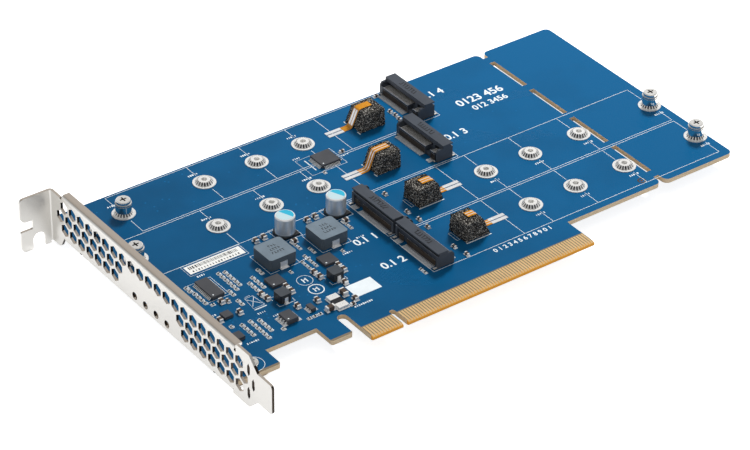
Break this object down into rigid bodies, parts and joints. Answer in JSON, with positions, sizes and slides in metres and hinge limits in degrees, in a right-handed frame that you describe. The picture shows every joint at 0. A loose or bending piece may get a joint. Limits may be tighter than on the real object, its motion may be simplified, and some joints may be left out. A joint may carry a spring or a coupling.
{
  "type": "nvme adapter card",
  "caption": "Full-height PCI Express carrier board for M.2 solid-state drive modules, with vented slot bracket, module sockets, stand-off nuts and a snap-off end.",
  "frame": {"origin": "centre of the edge connector's key, at the finger tips, on the component face of the board", "axes": "+X along the card away from the bracket, +Y from the edge fingers to the back edge, +Z out of the component face"},
  "size_m": [0.2102, 0.123, 0.022],
  "materials": {
    "solder_mask": "glass-epoxy laminate with glossy blue solder mask, bare tan edges",
    "gold_plate": "hard gold plate on copper",
    "bracket_steel": "nickel-plated steel sheet, satin",
    "screw_steel": "bright nickel-plated steel screws",
    "tin_plate": "tin-plated brass nuts and solder",
    "black_steel": "blackened steel posts",
    "socket_plastic": "black glass-filled polymer",
    "contact_metal": "tinned copper-alloy contacts and leads",
    "foam": "open-cell black foam",
    "polyimide": "amber polyimide film",
    "can_aluminium": "drawn aluminium can",
    "black_resin": "moulded black epoxy",
    "ferrite_grey": "pressed metal-powder moulding, grey",
    "ceramic_tan": "fired ceramic dielectric",
    "resistor_black": "glass-coated thick film on ceramic",
    "led_lens": "clear epoxy lens on white body",
    "label_paper": "white label stock"
  },
  "bodies": {
    "root": {"bracket_screws": "screw_steel", "capacitor_bases": "black_resin", "capacitor_cans": "can_aluminium", "card_screws": "screw_steel", "chip_capacitor_ends": "tin_plate", "chip_capacitors": "ceramic_tan", "chip_resistor_ends": "tin_plate", "chip_resistors": "resistor_black", "circuit_board": "solder_mask", "converter_chips": "black_resin", "edge_contacts": "gold_plate", "foam_pad_a": "foam", "foam_pad_b": "foam", "foam_pad_c": "foam", "foam_pad_d": "foam", "input_fuse": "resistor_black", "input_fuse_ends": "tin_plate", "long_posts": "black_steel", "power_inductor_terminals": "tin_plate", "power_inductors": "ferrite_grey", "quad_flat_chip": "black_resin", "quad_flat_leads": "contact_metal", "sensor_film_a": "polyimide", "sensor_film_b": "polyimide", "sensor_film_c": "polyimide", "sensor_film_d": "polyimide", "sensor_leads_a": "tin_plate", "sensor_leads_b": "tin_plate", "sensor_leads_c": "tin_plate", "sensor_leads_d": "tin_plate", "serial_label": "label_paper", "slot_bracket": "bracket_steel", "small_inductor_terminals": "tin_plate", "small_inductors": "ferrite_grey", "small_outline_chip": "black_resin", "small_outline_leads": "contact_metal", "socket_contacts_a": "contact_metal", "socket_contacts_b": "contact_metal", "socket_contacts_c": "contact_metal", "socket_contacts_d": "contact_metal", "socket_housing_a": "socket_plastic", "socket_housing_b": "socket_plastic", "socket_housing_c": "socket_plastic", "socket_housing_d": "socket_plastic", "standoff_bases": "tin_plate", "status_leds": "led_lens", "support_chip_leads": "contact_metal", "support_chips": "black_resin", "thin_outline_chip": "black_resin", "thin_outline_leads": "contact_metal"}
  },
  "joints": []
}
